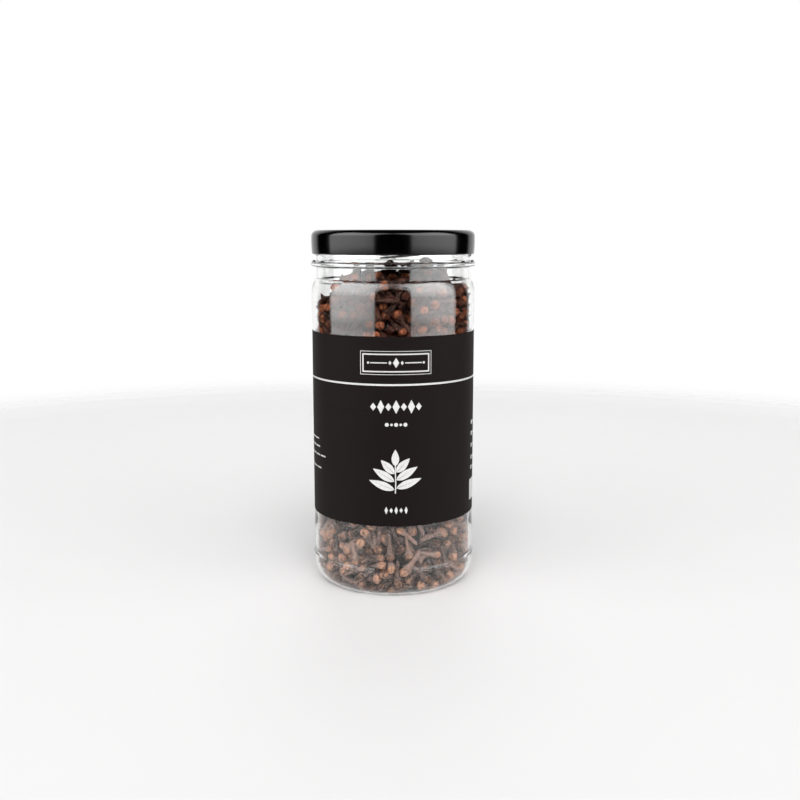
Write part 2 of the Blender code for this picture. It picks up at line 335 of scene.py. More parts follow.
@dataclass(frozen=True)
class CloveSkin(Finish):
    """Dry wrinkled skin: dark stems, lighter buds, every clove a little different."""

    stem_dark: Colour = (0.0040, 0.0013, 0.0008)
    stem_light: Colour = (0.060, 0.023, 0.015)
    sepal: Colour = (0.120, 0.051, 0.035)
    bud_dark: Colour = (0.030, 0.0085, 0.0045)
    bud_light: Colour = (0.300, 0.098, 0.047)
    # dust colour of the stems' ridges, which also paints their highlight
    dust: Colour = (0.165, 0.092, 0.070)
    # pale colours low in the jar: settled dust and painted bounce light from the floor
    low_dust_and_bounce: Colour = (0.310, 0.205, 0.168)
    low_bud_and_bounce: Colour = (0.430, 0.255, 0.168)
    pale_under: float = 50.0        # settled dust and painted bounce light make the cloves paler below this height
    pale_ease: float = 14.0         # and reach full strength that far below it
    low_pale_share: float = 0.7
    gloss: float = 0.13
    wrinkle_depth: float = 0.9

    def detail(self, web: NodeWeb, here: Field) -> dict[str, Any]:
        """Wrinkles along the stem, pale sepals, petal seams on the bud and a tint for each clove;
        painted shade in the grooves, seams and gap under the bud, dust with a painted highlight on the
        ridges, and dust with painted bounce light low down.
        """
        tint, bud = (web.read("ShaderNodeAttribute", "Fac", {"attribute_name": name})
                     for name in ("tint", "bud"))
        skin = web.read("ShaderNodeUVMap", 0, {"uv_map": "UVMap"})
        blotch = web.noise(here, 420.0, 3.0, 0.65)
        crumb = web.noise(here, 1300.0, 3.0, 0.7)
        folds = web.noise(web.stretch(skin, (3.2, 1.1, 1.0)), 2.0, 1.0)
        fine = web.noise(web.stretch(skin, (8.0, 2.4, 1.0)), 2.0, 2.0, 0.6)
        wrinkle = folds * 0.65 + fine * 0.35
        u, v, _ = web.axes(skin)
        shade = tint * 0.85 + blotch * 0.7 + crumb * 0.4 - 0.6
        stem = web.mix(shade.step(0.0, 0.9), self.stem_dark, self.stem_light)
        # Dust and a painted highlight: the ridges of the wrinkles are lightened.
        ridge_dust_and_sheen = wrinkle.step(0.5, 0.62) * crumb.step(0.4, 0.58)
        stem = web.mix(ridge_dust_and_sheen * 0.55, stem, self.dust)
        # Painted shade: the grooves between the wrinkles are darkened nearly to black.
        stem = web.mix(wrinkle.step(0.48, 0.4) * 0.85, stem, scaled(self.stem_dark, 0.4))
        stem = web.mix(v.step(0.67, 0.76) * crumb.step(0.3, 0.55) * 0.85, stem, self.sepal)
        seam = abs(web.maths("FRACT", u * 4.0) - 0.5).step(0.12, 0.02) * v.step(0.78, 0.82)
        bright = tint * 1.1 + crumb * 1.0 + blotch * 0.6 - 1.0
        head = web.mix(bright.step(0.05, 0.9), self.bud_dark, self.bud_light)
        head = web.mix(crumb.step(0.48, 0.36) * 0.75, head, self.bud_dark)
        # Painted shade: the petal seams on the bud are darkened.
        head = web.mix(seam * 0.85, head, scaled(self.bud_dark, 0.4))
        # Painted shade: a dark band in the gap between the sepals and the bud.
        bud_gap_shade = v.step(0.72, 0.75) * v.step(0.82, 0.77)
        colour = web.mix(bud_gap_shade * 0.85, web.mix(bud.step(0.3, 0.7), stem, head), self.stem_dark)
        # Settled dust and painted bounce light from the floor: the cloves turn paler in patches low in
        # the jar.
        height = web.axes(here)[2] * 1000.0
        deep = height.step(self.pale_under, self.pale_under - self.pale_ease)
        dust_and_bounce_patches = deep * (crumb * 0.85 + tint * 0.3).step(0.38, 0.76)
        pale = web.mix(bud.step(0.3, 0.7) * (1.0 - seam), self.low_dust_and_bounce, self.low_bud_and_bounce)
        colour = web.mix(dust_and_bounce_patches * self.low_pale_share, colour, pale)
        relief = wrinkle * 0.8 + crumb * 0.4 - seam * 0.5
        return {
            "Base Color": colour,
            "Roughness": crumb * 0.3 + (self.roughness - 0.15),
            "Specular IOR Level": self.gloss,
            "Normal": web.bump(relief, 1.0, self.wrinkle_depth),
        }


@dataclass(frozen=True)
class PaintedShadeCore(Finish):
    """Painted shade: dark crumbly depth that stands for the shaded cloves behind those that show."""

    def detail(self, web: NodeWeb, here: Field) -> dict[str, Any]:
        """Coarse lumps of dark brown."""
        lumps = web.noise(here, 260.0, 4.0, 0.7)
        shade = web.mix(lumps.step(0.4, 0.7), scaled(self.colour, 0.4), self.colour)
        return {"Base Color": shade, "Normal": web.bump(lumps, 1.0, 1.5)}


@dataclass(frozen=True)
class PaleFloor(Finish):
    """Plain pale table top that fades into the bright room beyond its edge."""

    fade_start: float = 430.0
    fade_end: float = 600.0

    def detail(self, web: NodeWeb, here: Field) -> dict[str, Any]:
        """Barely uneven, so that it reads as a real surface."""
        clouds = web.noise(here, 9.0, 3.0, 0.6)
        return {"Base Color": web.mix(clouds, scaled(self.colour, 0.975), self.colour)}

    def wrap(self, web: NodeWeb, shader: Field) -> Field:
        """Turn clear towards the edge."""
        here = web.read("ShaderNodeTexCoord", "Object")
        away = web.read("ShaderNodeVectorMath", "Value", {"operation": "LENGTH"}, {0: here})
        share = away.step(self.fade_start * MM, self.fade_end * MM)
        through = web.read("ShaderNodeBsdfTransparent", 0)
        return web.read("ShaderNodeMixShader", 0, None, {0: share, 1: shader, 2: through})


# ---- shared making


def arc(centre: tuple[float, float], radii: tuple[float, float], start: float, end: float,
        steps: int = 10) -> Outline:
    """Points of an elliptical arc in the (r, z) plane; angles run from outward towards up."""
    angles = [math.radians(start + (end - start) * i / steps) for i in range(steps + 1)]
    return [(centre[0] + radii[0] * math.cos(a), centre[1] + radii[1] * math.sin(a)) for a in angles]


def supported(outline: Outline, near: float = 0.12, longer: float = 0.8) -> Outline:
    """Add points close to both ends of every long stretch, so that it shades flat.

    Args:
        outline: points of the outline.
        near: distance of the added points from the ends.
        longer: stretches longer than this get them.

    Returns:
        The outline with the added points and no doubled ones.
    """
    points = [outline[0]]
    for (r0, z0), (r1, z1) in zip(outline, outline[1:]):
        span = math.hypot(r1 - r0, z1 - z0)
        if span > longer:
            for share in (near / span, 1.0 - near / span):
                points.append((r0 + (r1 - r0) * share, z0 + (z1 - z0) * share))
        if span > WELD:
            points.append((r1, z1))
    return points


def new_object(name: str, mesh: Mesh) -> Object:
    """Put a mesh into the scene as an object at the origin."""
    obj = bpy.data.objects.new(name, mesh)
    bpy.context.scene.collection.objects.link(obj)
    return obj


def mesh_of(name: str, bm: bmesh.types.BMesh) -> Mesh:
    """Write a bmesh into a new mesh and free it."""
    mesh = bpy.data.meshes.new(name)
    bm.to_mesh(mesh)
    bm.free()
    return mesh


def points_of(mesh: Mesh) -> tuple[np.ndarray, np.ndarray]:
    """Places of a mesh's vertices in millimetres, and their distances from the axis."""
    flat = np.empty(len(mesh.vertices) * 3, np.float32)
    mesh.vertices.foreach_get("co", flat)
    places = flat.reshape(-1, 3).astype(float) / MM
    return places, np.hypot(places[:, 0], places[:, 1])


def move_points(mesh: Mesh, places: np.ndarray) -> None:
    """Give a mesh's vertices new places, in millimetres."""
    mesh.vertices.foreach_set("co", (places * MM).astype(np.float32).ravel())
    mesh.update()


def front_angles(places: np.ndarray) -> np.ndarray:
    """Angles of places round the jar, from the front towards +X, in degrees."""
    return np.degrees(np.arctan2(places[:, 0], -places[:, 1]))


def soft_step(values: np.ndarray, low: float, high: float) -> np.ndarray:
    """Rise smoothly from 0 at low to 1 at high."""
    share = np.clip((values - low) / (high - low), 0.0, 1.0)
    return share * share * (3.0 - 2.0 * share)


def settle(obj: Object, tree: NodeTree, values: dict[str, Any]) -> Object:
    """Run a Geometry Nodes tree on an object and keep the result as its own plain mesh.

    Args:
        obj: the object that gives the tree its geometry.
        tree: the tree.
        values: the tree's named inputs.

    Returns:
        The same object.
    """
    modifier = obj.modifiers.new(tree.name, "NODES")
    modifier.node_group = tree
    for item in tree.interface.items_tree:
        if item.item_type == "SOCKET" and item.in_out == "INPUT" and item.name in values:
            modifier[item.identifier] = values[item.name]
    bpy.context.view_layer.update()
    evaluated = obj.evaluated_get(bpy.context.evaluated_depsgraph_get())
    mesh = bpy.data.meshes.new_from_object(evaluated)
    obj.modifiers.clear()
    old, obj.data = obj.data, mesh
    bpy.data.meshes.remove(old)
    mesh.name = obj.name
    return obj


def new_rule(name: str,
             inputs: Sequence[tuple[str, str]]) -> tuple[NodeWeb, dict[str, Field]]:
    """Start a Geometry Nodes tree with named inputs.

    Args:
        name: the tree's name.
        inputs: the name and kind of each input after the geometry.

    Returns:
        The tree's web and its inputs by name.
    """
    tree = bpy.data.node_groups.new(name, "GeometryNodeTree")
    for socket, kind in (("Geometry", "Geometry"), *inputs):
        tree.interface.new_socket(socket, in_out="INPUT", socket_type=f"NodeSocket{kind}")
    tree.interface.new_socket("Geometry", in_out="OUTPUT", socket_type="NodeSocketGeometry")
    web = NodeWeb(tree)
    source = web.node("NodeGroupInput")
    names = ["Geometry", *(socket for socket, _ in inputs)]
    return web, {socket: Field(web, source.outputs[socket]) for socket in names}


def end_rule(web: NodeWeb, geometry: Field, finish: Field) -> NodeTree:
    """Close a Geometry Nodes tree with Realize Instances and Set Material."""
    real = web.read("GeometryNodeRealizeInstances", 0, None, {0: geometry})
    made = web.read("GeometryNodeSetMaterial", 0, None, {"Geometry": real, "Material": finish})
    web.node("NodeGroupOutput", inputs={0: made})
    return web.tree


def turning_rule() -> NodeTree:
    """Rule that wraps a grid round the Z axis along an outline, closed at the seam and poles."""
    inputs = (("Segments", "Int"), ("Weld", "Float"), ("Finish", "Material"))
    web, given = new_rule("turned_shell", inputs)
    rows = web.read("GeometryNodeAttributeDomainSize", "Point Count", None, {0: given["Geometry"]})
    size = {"Size X": 1.0, "Size Y": 1.0, "Vertices X": given["Segments"] + 1.0,
            "Vertices Y": rows}
    grid = web.read("GeometryNodeMeshGrid", "Mesh", None, size)
    place = web.read("GeometryNodeInputPosition", 0)
    across, along, _ = web.axes(place)
    row = web.maths("ROUND", (along + 0.5) * (rows - 1.0))
    sample = web.node("GeometryNodeSampleIndex", {"data_type": "FLOAT_VECTOR"},
                      {"Geometry": given["Geometry"], "Value": place, "Index": row})
    radius, _, height = web.axes(Field(web, sample.outputs[0]))
    turn = (across + 0.5) * math.tau
    x, y = radius * web.maths("SINE", turn), radius * web.maths("COSINE", turn) * -1.0
    spot = web.read("ShaderNodeCombineXYZ", 0, None, {0: x, 1: y, 2: height})
    shell = web.read("GeometryNodeSetPosition", 0, None, {"Geometry": grid, "Position": spot})
    weld = {"Geometry": shell, "Distance": given["Weld"]}
    shell = web.read("GeometryNodeMergeByDistance", 0, None, weld)
    shell = web.read("GeometryNodeSetShadeSmooth", 0, None, {"Geometry": shell})
    return end_rule(web, shell, given["Finish"])


def turned(name: str, outline: Outline, segments: int, finish: Material,
           rule: NodeTree) -> Object:
    """Turn an outline into a closed shell.

    Args:
        name: name of the piece.
        outline: (r, z) points that run outwards below, up outside and down inside.
        segments: flats round the shell.
        finish: its material.
        rule: the tree that turns.

    Returns:
        The piece.
    """
    mesh = bpy.data.meshes.new(name)
    mesh.from_pydata([(r * MM, 0.0, z * MM) for r, z in outline],
                     [(i, i + 1) for i in range(len(outline) - 1)], [])
    piece = new_object(name, mesh)
    values = {"Segments": segments, "Weld": WELD * MM, "Finish": finish}
    return settle(piece, rule, values)


def enrol(piece: Object, slot: Slot, *nodes: str) -> None:
    """Hand a finished piece to the frame and report it.

    Args:
        piece: the finished object.
        slot: the record's material slot that it stands for, which is reported.
        nodes: CAD nodes that it stands for.
    """
    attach(piece, ROOT)
    if nodes:
        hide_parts(*nodes)
    LOG.info("%s: %d faces, slot %s", piece.name, len(piece.data.polygons), slot.value)


# ---- the jar


@dataclass
class Jar:
    """Blow-moulded clear body with its neck, support ring, thread and domed foot."""

    rule: NodeTree
    segments: int = 240
    body_r: float = 32.5
    wall: float = 1.2
    heel_r: float = 8.0
    heel_h: float = 7.8
    foot_w: float = 2.0
    push_up: float = 3.0
    parting_z: float = 11.6
    parting_h: float = 0.3
    panel_z: tuple[float, float] = (29.4, 102.4)
    panel_depth: float = 0.26
    panel_ease: float = 7.0          # the wall eases into the panel over this height
    shoulder_z: float = 115.6
    shoulder_h: float = 7.0
    floor_t: float = 0.7
    neck_r: float = 30.4
    neck_wall: float = 1.6
    rim_z: float = 140.2
    bead_r: float = 32.55
    bead_z: float = 127.4
    bead_h: float = 1.7
    bead_round: float = 0.55
    rib_count: int = 4
    rib_start: float = -7.8
    rib_span: float = 60.0
    rib_z: float = 131.6
    rib_rise: float = 2.9
    rib_half: float = 0.6
    rib_out: float = 0.6
    nub_angles: tuple[float, ...] = (-27, -2, 30, 60, 90, 120, 150, 180, -150, -120, -90, -60)
    nub_w: float = 3.0
    nub_h: float = 0.6
    # Parting ridge: height over its crest, and how far it stands out as a share of parting_h.
    ridge: tuple[tuple[float, float], ...] = (
        (-0.45, 0.0), (-0.3, 0.4), (-0.15, 0.85), (0.0, 1.0), (0.2, 0.9), (0.75, 0.5),
        (1.25, 0.12), (1.5, 0.0))
    # The wall's bend into the panel: shares of panel_ease and of panel_depth.
    bend: tuple[tuple[float, float], ...] = (
        (0.0, 0.0), (0.12, 0.04), (0.3, 0.2), (0.5, 0.5), (0.7, 0.8), (0.88, 0.96), (1.0, 1.0))

    @property
    def foot_r(self) -> float:
        """Radius at which the heel meets the floor."""
        return self.body_r - self.heel_r

    @property
    def inner_r(self) -> float:
        """Radius of the body's inside."""
        return self.body_r - self.wall

    @property
    def neck_inner(self) -> float:
        """Radius of the neck's inside."""
        return self.neck_r - self.neck_wall

    def floor_rise(self, r: np.ndarray | float) -> np.ndarray | float:
        """Height of the domed floor above the flat foot at a radius."""
        return self.push_up * np.maximum(0.0, 1.0 - (r / (self.foot_r - self.foot_w)) ** 2)

    def inside_radius(self, z: np.ndarray) -> np.ndarray:
        """Radius of the jar's inside at each height."""
        drop = np.clip((self.heel_h - z) / (self.heel_h - self.floor_t), 0.0, 1.0)
        heel = self.foot_r + (self.heel_r - self.wall) * np.sqrt(1.0 - drop * drop)
        start = self.shoulder_z - self.wall / 2
        lift = np.clip((z - start) / self.shoulder_h, 0.0, 1.0)
        upper = self.neck_inner + (self.inner_r - self.neck_inner) * np.sqrt(1.0 - lift * lift)
        return np.where(z < self.heel_h, heel, upper)

    def outline(self) -> Outline:
        """Whole outline, from the middle of the foot up the outside and down the inside."""
        dome_r = self.foot_r - self.foot_w
        low, high = self.panel_z
        under = [(r, self.floor_rise(r)) for r in np.linspace(1.5, dome_r - 0.4, 14)]
        gate = ((0.0, 0.35), (0.7, 0.32), (1.1, 0.06))
        points: Outline = [(r, self.push_up - drop) for r, drop in gate]
        points += under + [(dome_r, 0.03), (dome_r + 0.3, 0.0), (self.foot_r, 0.0)]
        points += arc((self.foot_r, self.heel_h), (self.heel_r, self.heel_h), -90, 0, 26)[1:]
        points += [(self.body_r + self.parting_h * h, self.parting_z + z) for z, h in self.ridge]
        points += [(self.body_r - self.panel_depth * d, low - self.panel_ease * (1.0 - h))
                   for h, d in self.bend]
        points += [(self.body_r - self.panel_depth * d, high + self.panel_ease * (1.0 - h))
                   for h, d in self.bend[::-1]]
        shoulder = (self.body_r - self.neck_r, self.shoulder_h)
        points += arc((self.neck_r, self.shoulder_z), shoulder, 0, 90, 18)
        points += arc((self.neck_r + 0.5, self.bead_z - 0.5), (0.5, 0.5), 180, 90, 5)
        top, tip = self.bead_z + self.bead_h, self.bead_r - self.bead_round
        rounding = (self.bead_round, self.bead_round)
        points += arc((tip, self.bead_z + self.bead_round), rounding, -90, 0, 7)
        points += arc((tip, top - self.bead_round), rounding, 0, 90, 7)
        points += [(r, top) for r in np.linspace(tip - 0.12, self.neck_r + 0.35, 6)]
        points += arc((self.neck_r + 0.3, top + 0.3), (0.3, 0.3), 270, 180, 4)
        thread_top = self.rib_z + self.rib_rise + 1.2
        points += [(self.neck_r, z) for z in np.arange(top + 0.5, thread_top, 0.2)]
        points += arc((self.neck_r - 0.5, self.rim_z - 0.5), (0.5, 0.5), 0, 90, 6)
        points += arc((self.neck_inner + 0.5, self.rim_z - 0.5), (0.5, 0.5), 90, 180, 6)
        inside = (self.inner_r - self.neck_inner, self.shoulder_h)
        points += arc((self.neck_inner, self.shoulder_z - self.wall / 2), inside, 90, 0, 18)
        inside = (self.heel_r - self.wall, self.heel_h - self.floor_t)
        points += arc((self.foot_r, self.heel_h), inside, 0, -90, 22)
        points += [(r, self.floor_t + self.floor_rise(r)) for r in np.linspace(dome_r, 0.0, 14)]
        return supported(points)

    def add_thread(self, mesh: Mesh) -> None:
        """Raise the thread's ribs and the nubs on the support ring."""
        places, radius = points_of(mesh)
        angle, height = front_angles(places), places[:, 2]
        outside = radius > self.neck_r - 0.1
        raised = np.zeros(len(places))
        for index in range(self.rib_count):
            start = self.rib_start + index * 360.0 / self.rib_count
            along = (angle - start) % 360.0
            middle = self.rib_z + self.rib_rise * along / self.rib_span
            ends = soft_step(along, 0.0, 1.2)
            ends = ends * soft_step(-along, -self.rib_span, -self.rib_span + 1.2)
            off = -np.abs(height - middle)
            flank = soft_step(off, -self.rib_half - 0.15, -self.rib_half + 0.3)
            raised = np.maximum(raised, ends * flank)
        top = self.bead_z + self.bead_h
        on_neck = outside & (height > top + 0.4) & (height < self.rim_z - 0.5)
        grown = np.where(on_neck, radius + raised * self.rib_out, radius)
        lift = np.zeros(len(places))
        half = math.degrees(self.nub_w / 2 / self.bead_r)
        for nub in self.nub_angles:
            off = np.abs((angle - nub + 180.0) % 360.0 - 180.0)
            lift = np.maximum(lift, soft_step(-off, -half, -half * 0.45))
        on_bead = outside & (np.abs(height - top) < 0.05) & (radius > self.neck_r + 0.3)
        across = soft_step(radius, self.neck_r + 0.3, self.neck_r + 0.6)
        across *= soft_step(-radius, -self.bead_r + 0.35, -self.bead_r + 0.75)
        places[:, 2] += np.where(on_bead, lift * across * self.nub_h, 0.0)
        places[:, :2] *= (grown / np.maximum(radius, 1e-6))[:, None]
        move_points(mesh, places)

    def build(self, finish: ClearPlastic) -> None:
        """Make the jar, which stands for the CAD jar.

        Args:
            finish: its clear plastic.
        """
        piece = turned("jar_body", self.outline(), self.segments, finish.make(), self.rule)
        self.add_thread(piece.data)
        enrol(piece, Slot.JAR, "jar")


# ---- the lid


@dataclass
class Lid:
    """Pressed twist-off lid: recessed panel, rounded edge, straight skirt, rolled bottom."""

    rule: NodeTree
    segments: int = 240
    radius: float = 32.35
    low: float = 132.1
    high: float = 141.4
    sheet: float = 0.35
    edge: tuple[float, float] = (2.7, 2.3)
    panel_r: float = 27.0
    panel_drop: float = 0.5
    slope: float = 1.0
    curl_r: float = 0.45
    belly_z: float = 137.2           # the skirt is widest here and bows in a little above and below
    belly: float = 0.0104
    button_r: float = 11.0
    button_h: float = 0.18
    # The button's edge: distance past its radius, and share of its height.
    button_edge: tuple[tuple[float, float], ...] = (
        (-0.5, 0.85), (0.0, 0.5), (0.5, 0.15), (1.0, 0.0))
    # The ring pressed in near the panel's edge: distance in from panel_r, and depth.
    ring: tuple[tuple[float, float], ...] = (
        (3.4, 0.0), (3.0, 0.08), (2.2, 0.08), (1.8, 0.0), (0.3, 0.0))

    def skirt_radius(self, z: float) -> float:
        """Radius of the skirt's outside at a height."""
        return self.radius - self.belly * (z - self.belly_z) ** 2

    def panel_top(self) -> Outline:
        """Top of the panel from the middle outwards, with the low button in its middle."""
        floor = self.high - self.panel_drop
        flat = np.linspace(0.0, self.button_r - 1.0, 6)
        points: Outline = [(r, floor + self.button_h) for r in flat]
        points += [(self.button_r + past, floor + self.button_h * h) for past, h in self.button_edge]
        points += [(self.panel_r - off, floor - drop) for off, drop in self.ring]
        width = self.slope + 0.3
        for share in (0.1, 0.3, 0.5, 0.7, 0.9):
            eased = share * share * (3.0 - 2.0 * share)
            points.append((self.panel_r + width * share - 0.15, floor + self.panel_drop * eased))
        return points + [(self.panel_r + width, self.high)]

    def outline(self) -> Outline:
        """Whole outline: underside, inside, round the roll, up the skirt and over the top."""
        top = self.panel_top()
        edge_r, edge_z = self.radius - self.edge[0], self.high - self.edge[1]
        inner = (self.edge[0] - self.sheet, self.edge[1] - self.sheet)
        points = [(r, z - self.sheet) for r, z in top]
        points += arc((edge_r, edge_z), inner, 90, 0, 12)
        foot_z = self.low + self.curl_r
        foot_r = self.skirt_radius(foot_z)
        points += [(foot_r - self.sheet, edge_z - 0.5), (foot_r - self.sheet, foot_z + 1.2)]
        points += arc((foot_r - 0.75, self.low + 0.75), (0.75, 0.75), 100, 270, 12)
        points += arc((foot_r - self.curl_r, foot_z), (self.curl_r, self.curl_r), -90, 0, 9)
        points += [(self.skirt_radius(z), z) for z in np.arange(foot_z + 0.3, edge_z - 0.2, 0.3)]
        outer = (self.skirt_radius(edge_z) - edge_r, self.edge[1])
        points += arc((edge_r, edge_z), outer, 0, 90, 20)
        return supported(points + top[::-1])

    def build(self, finish: Lacquer) -> None:
        """Make the lid, which stands for the CAD lid."""
        piece = turned("lid_cap", self.outline(), self.segments, finish.make(), self.rule)
        enrol(piece, Slot.LID, "lid")


# ---- the label


class Artwork:
    """Flat shapes of the print, as (arc length from the front, height) polygons."""

    def __init__(self) -> None:
        """Start with no shapes."""
        self.shapes: list[Outline] = []

    def bar(self, left: float, right: float, low: float, high: float) -> None:
        """Add an upright rectangle."""
        self.shapes.append([(left, low), (right, low), (right, high), (left, high)])

    def frame(self, left: float, right: float, low: float, high: float, line: float) -> None:
        """Add a rectangular frame whose line lies inside the given edges."""
        self.bar(left, right, low, low + line)
        self.bar(left, right, high - line, high)
        self.bar(left, left + line, low + line, high - line)
        self.bar(right - line, right, low + line, high - line)

    def disc(self, x: float, z: float, r: float, sides: int = 16) -> None:
        """Add a disc."""
        angles = [math.tau * i / sides for i in range(sides)]
        self.shapes.append([(x + r * math.cos(a), z + r * math.sin(a)) for a in angles])

    def diamond(self, x: float, z: float, half_w: float, half_h: float) -> None:
        """Add a diamond."""
        self.shapes.append([(x - half_w, z), (x, z - half_h), (x + half_w, z), (x, z + half_h)])

    def leaf(self, x: float, z: float, length: float, width: float, angle: float) -> None:
        """Add a leaf in two halves with a dark rib left between them.

        Args:
            x: arc length of the leaf's foot.
            z: height of the leaf's foot.
            length: from foot to tip.
            width: at its widest.
            angle: heading of the tip, from +x towards up.
        """
        steps, gap = 9, 0.16
        along = (math.cos(math.radians(angle)), math.sin(math.radians(angle)))
        side = (-along[1], along[0])
        for sign in (-1.0, 1.0):
            outer, inner = [], []
            for i in range(steps + 1):
                t = i / steps
                wide = width / 2 * math.sin(math.pi * t ** 0.8) ** 0.9
                rib = min(gap / 2 * (1.0 - t), wide * 0.5)
                outer.append((t * length, sign * max(wide, rib)))
                inner.append((t * length, sign * rib))
            ring = inner + outer[-2:0:-1]
            if sign > 0:
                ring.reverse()
            self.shapes.append([(x + u * along[0] + v * side[0], z + u * along[1] + v * side[1])
                                for u, v in ring[::-1]])

    def stroke(self, points: Sequence[tuple[float, float]], width: float) -> None:
        """Add a line of even width along points."""
        for (x0, z0), (x1, z1) in zip(points, points[1:]):
            span = math.hypot(x1 - x0, z1 - z0)
            nx, nz = -(z1 - z0) / span * width / 2, (x1 - x0) / span * width / 2
            self.shapes.append([(x0 - nx, z0 - nz), (x1 - nx, z1 - nz),
                                (x1 + nx, z1 + nz), (x0 + nx, z0 + nz)])


@dataclass
class Label:
    """Wrap label of satin black film with white print, lapped at the back."""

    rule: NodeTree
    segments: int = 240
    low: float = 29.6
    high: float = 102.2
    outer: float = 32.4
    film: float = 0.14
    ink: float = 0.03
    sunk: float = 0.02               # the ink reaches this far into the film
    middle: float = 1.3              # the print's middle lies this far round from the front
    ring_z: float = 84.2
    ring_w: float = 0.7
    lap_angles: tuple[float, float] = (174.0, 184.0)
    cut: float = 1.2                 # shapes are cut this narrow before they are wrapped

    def band(self, finish: Material) -> Object:
        """Make the film, one closed band with its lapped end at the back."""
        inner, soft = self.outer - self.film, 0.03
        outline = [(self.outer, self.low + soft), (self.outer, self.high - soft),
                   (self.outer - soft, self.high), (inner, self.high), (inner, self.low),
                   (self.outer - soft, self.low), (self.outer, self.low + soft)]
        piece = turned("label_film", supported(outline), self.segments, finish, self.rule)
        places, radius = points_of(piece.data)
        off = (front_angles(places) - self.lap_angles[0]) % 360.0
        outside = radius > self.outer - self.film / 2
        lapped = outside & (off < self.lap_angles[1] - self.lap_angles[0])
        places[:, :2] *= np.where(lapped, (radius + self.film * 0.7) / radius, 1.0)[:, None]
        move_points(piece.data, places)
        return piece

    def front_art(self, art: Artwork) -> None:
        """Draw the front: a framed ornament, a title band, a leafy sprig and small rows."""
        x = self.middle
        art.frame(x - 13.7, x + 13.7, 88.0, 96.9, 0.2)
        art.frame(x - 12.85, x + 12.85, 88.95, 95.95, 0.5)
        for side in (-1.0, 1.0):
            art.bar(*sorted((x + side * 3.4, x + side * 9.8)), 92.3, 92.7)
            art.disc(x + side * 10.6, 92.5, 0.45)
            art.diamond(x + side * 2.3, 92.5, 0.6, 0.8)
        art.diamond(x, 92.5, 1.2, 1.9)
        for index in range(-3, 4):
            half_w, half_h = (1.15, 1.5) if index % 2 else (1.35, 2.6)
            art.diamond(x + index * 2.9, 75.9, half_w, half_h)
        for index in range(-2, 3):
            art.disc(x + index * 1.75, 69.1, 0.5 if index % 2 else 0.75)
        self.sprig(art, x - 0.3, 42.6)
        for index in range(-2, 3):
            art.diamond(x + index * 1.9, 35.9, 0.65, 1.0 if index % 2 else 1.5)

    def sprig(self, art: Artwork, x: float, z: float) -> None:
        """Draw an upright sprig of paired leaves."""
        art.stroke([(x, z), (x + 0.15, z + 4.0), (x, z + 8.5), (x, z + 11.0)], 0.42)
        for height, length, tilt in ((2.0, 10.4, 20.0), (5.2, 9.6, 31.0), (8.2, 7.4, 46.0)):
            art.leaf(x + 0.35, z + height, length, 3.1, tilt)
            art.leaf(x - 0.35, z + height - 0.6, length, 3.1, 180.0 - tilt)
        art.leaf(x, z + 10.6, 6.4, 2.9, 90.0)

    def side_art(self, art: Artwork) -> None:
        """Draw plain rules and panels on the sides and the back."""
        for z, right in ((60.3, -36.4), (57.2, -35.5), (53.8, -30.9), (48.7, -34.6)):
            left = -66.0 if z > 50 else -52.0
            for start in np.arange(right, left, -4.6):
                art.bar(start - 3.8, start, z - 0.28, z + 0.28)
        for row, z in enumerate((65.9, 61.4, 56.5, 51.6, 47.5)):
            art.bar(41.4, 43.4, z - 0.8, z + 0.8)
            for start in np.arange(44.6, 70.0 - (row % 3) * 6.0, 5.2):
                art.bar(start, start + 4.4, z - 0.28, z + 0.28)
        art.bar(39.8, 62.0, 34.4, 42.8)

    def print_layer(self, finish: Material) -> Object:
        """Wrap the print's shapes and its ring line round the film as thin ink."""
        art = Artwork()
        self.front_art(art)
        self.side_art(art)
        reach = math.tau * self.outer / 2
        art.bar(-reach, reach, self.ring_z - self.ring_w / 2, self.ring_z + self.ring_w / 2)
        bm = bmesh.new()
        for shape in art.shapes:
            bm.faces.new([bm.verts.new((x, 0.0, z)) for x, z in shape])
        bmesh.ops.triangulate(bm, faces=[f for f in bm.faces if len(f.verts) > 4])
        for x in np.arange(-reach + self.cut, reach, self.cut):
            geometry = [*bm.verts, *bm.edges, *bm.faces]
            bmesh.ops.bisect_plane(bm, geom=geometry, dist=1e-5,
                                   plane_co=(x, 0, 0), plane_no=(1, 0, 0))
        grown = bmesh.ops.extrude_face_region(bm, geom=bm.faces[:], use_keep_orig=True)
        for vert in grown["geom"]:
            if isinstance(vert, bmesh.types.BMVert):
                vert.co.y = 1.0
        for vert in bm.verts:
            r = self.outer - self.sunk + vert.co.y * (self.ink + self.sunk)
            angle = vert.co.x / self.outer
            vert.co = Vector((r * math.sin(angle), -r * math.cos(angle), vert.co.z)) * MM
        bmesh.ops.remove_doubles(bm, verts=bm.verts, dist=WELD * MM)
        bmesh.ops.recalc_face_normals(bm, faces=bm.faces)
        piece = new_object("label_print", mesh_of("label_print", bm))
        piece.data.materials.append(finish)
        return piece

    def build(self, film: LabelFilm, ink: Ink) -> None:
        """Make the film, which stands for the CAD label, and the print on it."""
        enrol(self.band(film.make()), Slot.LABEL, "label")
        enrol(self.print_layer(ink.make()), Slot.LABEL)


# ---- the fill


